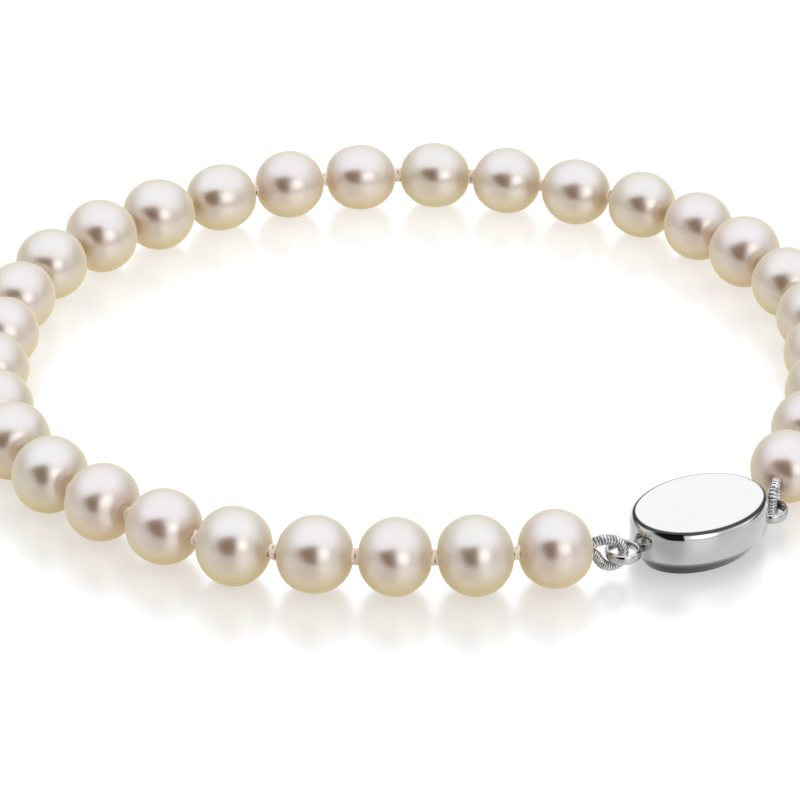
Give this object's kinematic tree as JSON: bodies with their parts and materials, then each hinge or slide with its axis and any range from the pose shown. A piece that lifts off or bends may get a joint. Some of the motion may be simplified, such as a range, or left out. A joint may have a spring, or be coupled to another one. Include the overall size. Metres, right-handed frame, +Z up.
{
  "type": "pearl bracelet",
  "caption": "Flat-lying loop of knotted near-round white pearls, closed by an oval silver-coloured box clasp with soldered rings and coiled gimp sleeves.",
  "frame": {"origin": "middle of the bracelet's outer box on the plane it lies on", "axes": "+Z up, out of the plane of the loop; the clasp is at +X -Y, and -Y is the side nearest a viewer who looks along +Y"},
  "size_m": [0.0676, 0.0638, 0.0058],
  "materials": {
    "pearl_nacre": "lustrous white freshwater nacre with a faint rose and green orient",
    "silk": "twisted cream silk, knotted between pearls",
    "polished_silver": "mirror-polished silver-coloured metal",
    "coiled_gimp": "bright, finely coiled silver-coloured wire"
  },
  "bodies": {
    "root": {"pearl_01": "pearl_nacre", "pearl_02": "pearl_nacre", "pearl_03": "pearl_nacre", "pearl_04": "pearl_nacre", "pearl_05": "pearl_nacre", "pearl_06": "pearl_nacre", "pearl_07": "pearl_nacre", "pearl_08": "pearl_nacre", "pearl_09": "pearl_nacre", "pearl_10": "pearl_nacre", "pearl_11": "pearl_nacre", "pearl_12": "pearl_nacre", "pearl_13": "pearl_nacre", "pearl_14": "pearl_nacre", "pearl_15": "pearl_nacre", "pearl_16": "pearl_nacre", "pearl_17": "pearl_nacre", "pearl_18": "pearl_nacre", "pearl_19": "pearl_nacre", "pearl_20": "pearl_nacre", "pearl_21": "pearl_nacre", "pearl_22": "pearl_nacre", "pearl_23": "pearl_nacre", "pearl_24": "pearl_nacre", "pearl_25": "pearl_nacre", "pearl_26": "pearl_nacre", "pearl_27": "pearl_nacre", "pearl_28": "pearl_nacre", "pearl_29": "pearl_nacre", "pearl_30": "pearl_nacre", "pearl_31": "pearl_nacre", "silk_thread": "silk", "clasp": "polished_silver", "gimp_first": "coiled_gimp", "gimp_last": "coiled_gimp"}
  },
  "joints": []
}
